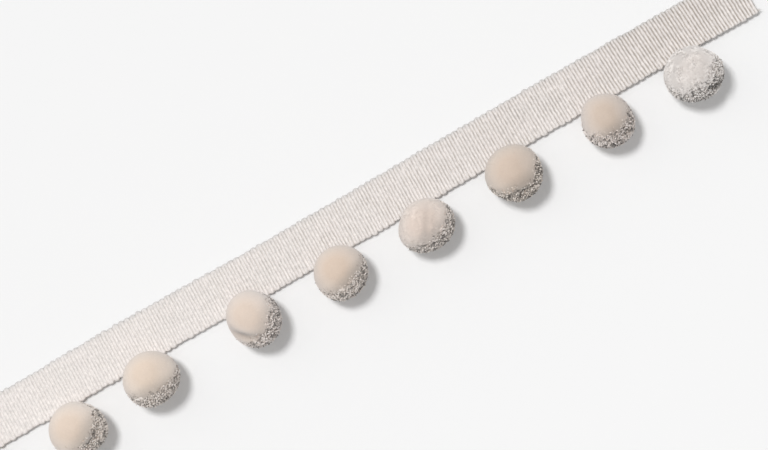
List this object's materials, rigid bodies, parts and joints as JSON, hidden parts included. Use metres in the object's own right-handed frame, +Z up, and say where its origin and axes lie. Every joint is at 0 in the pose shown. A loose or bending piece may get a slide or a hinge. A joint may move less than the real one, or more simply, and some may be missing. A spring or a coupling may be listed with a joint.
{
  "type": "pompom fringe trim",
  "caption": "Ribbed woven tape with cut-yarn pompoms sewn in a row along one edge, lying flat, for edging cushions, curtains and garments.",
  "frame": {"origin": "bottom centre of the trim's box, on the surface that the trim lies on", "axes": "+X along the tape, +Y across it from the pompoms to the plain edge, +Z up from the surface"},
  "size_m": [0.32, 0.0333, 0.0196],
  "materials": {
    "tape": "matt ribbed grosgrain weave in a pale oyster",
    "pompom": "dense cut pile, peach-beige at the yarn ends and silvery at their sides"
  },
  "bodies": {
    "root": {"tape": "tape", "pompom_1": "pompom", "pompom_2": "pompom", "pompom_3": "pompom", "pompom_4": "pompom", "pompom_5": "pompom", "pompom_6": "pompom", "pompom_7": "pompom", "pompom_8": "pompom", "pompom_9": "pompom"}
  },
  "joints": []
}
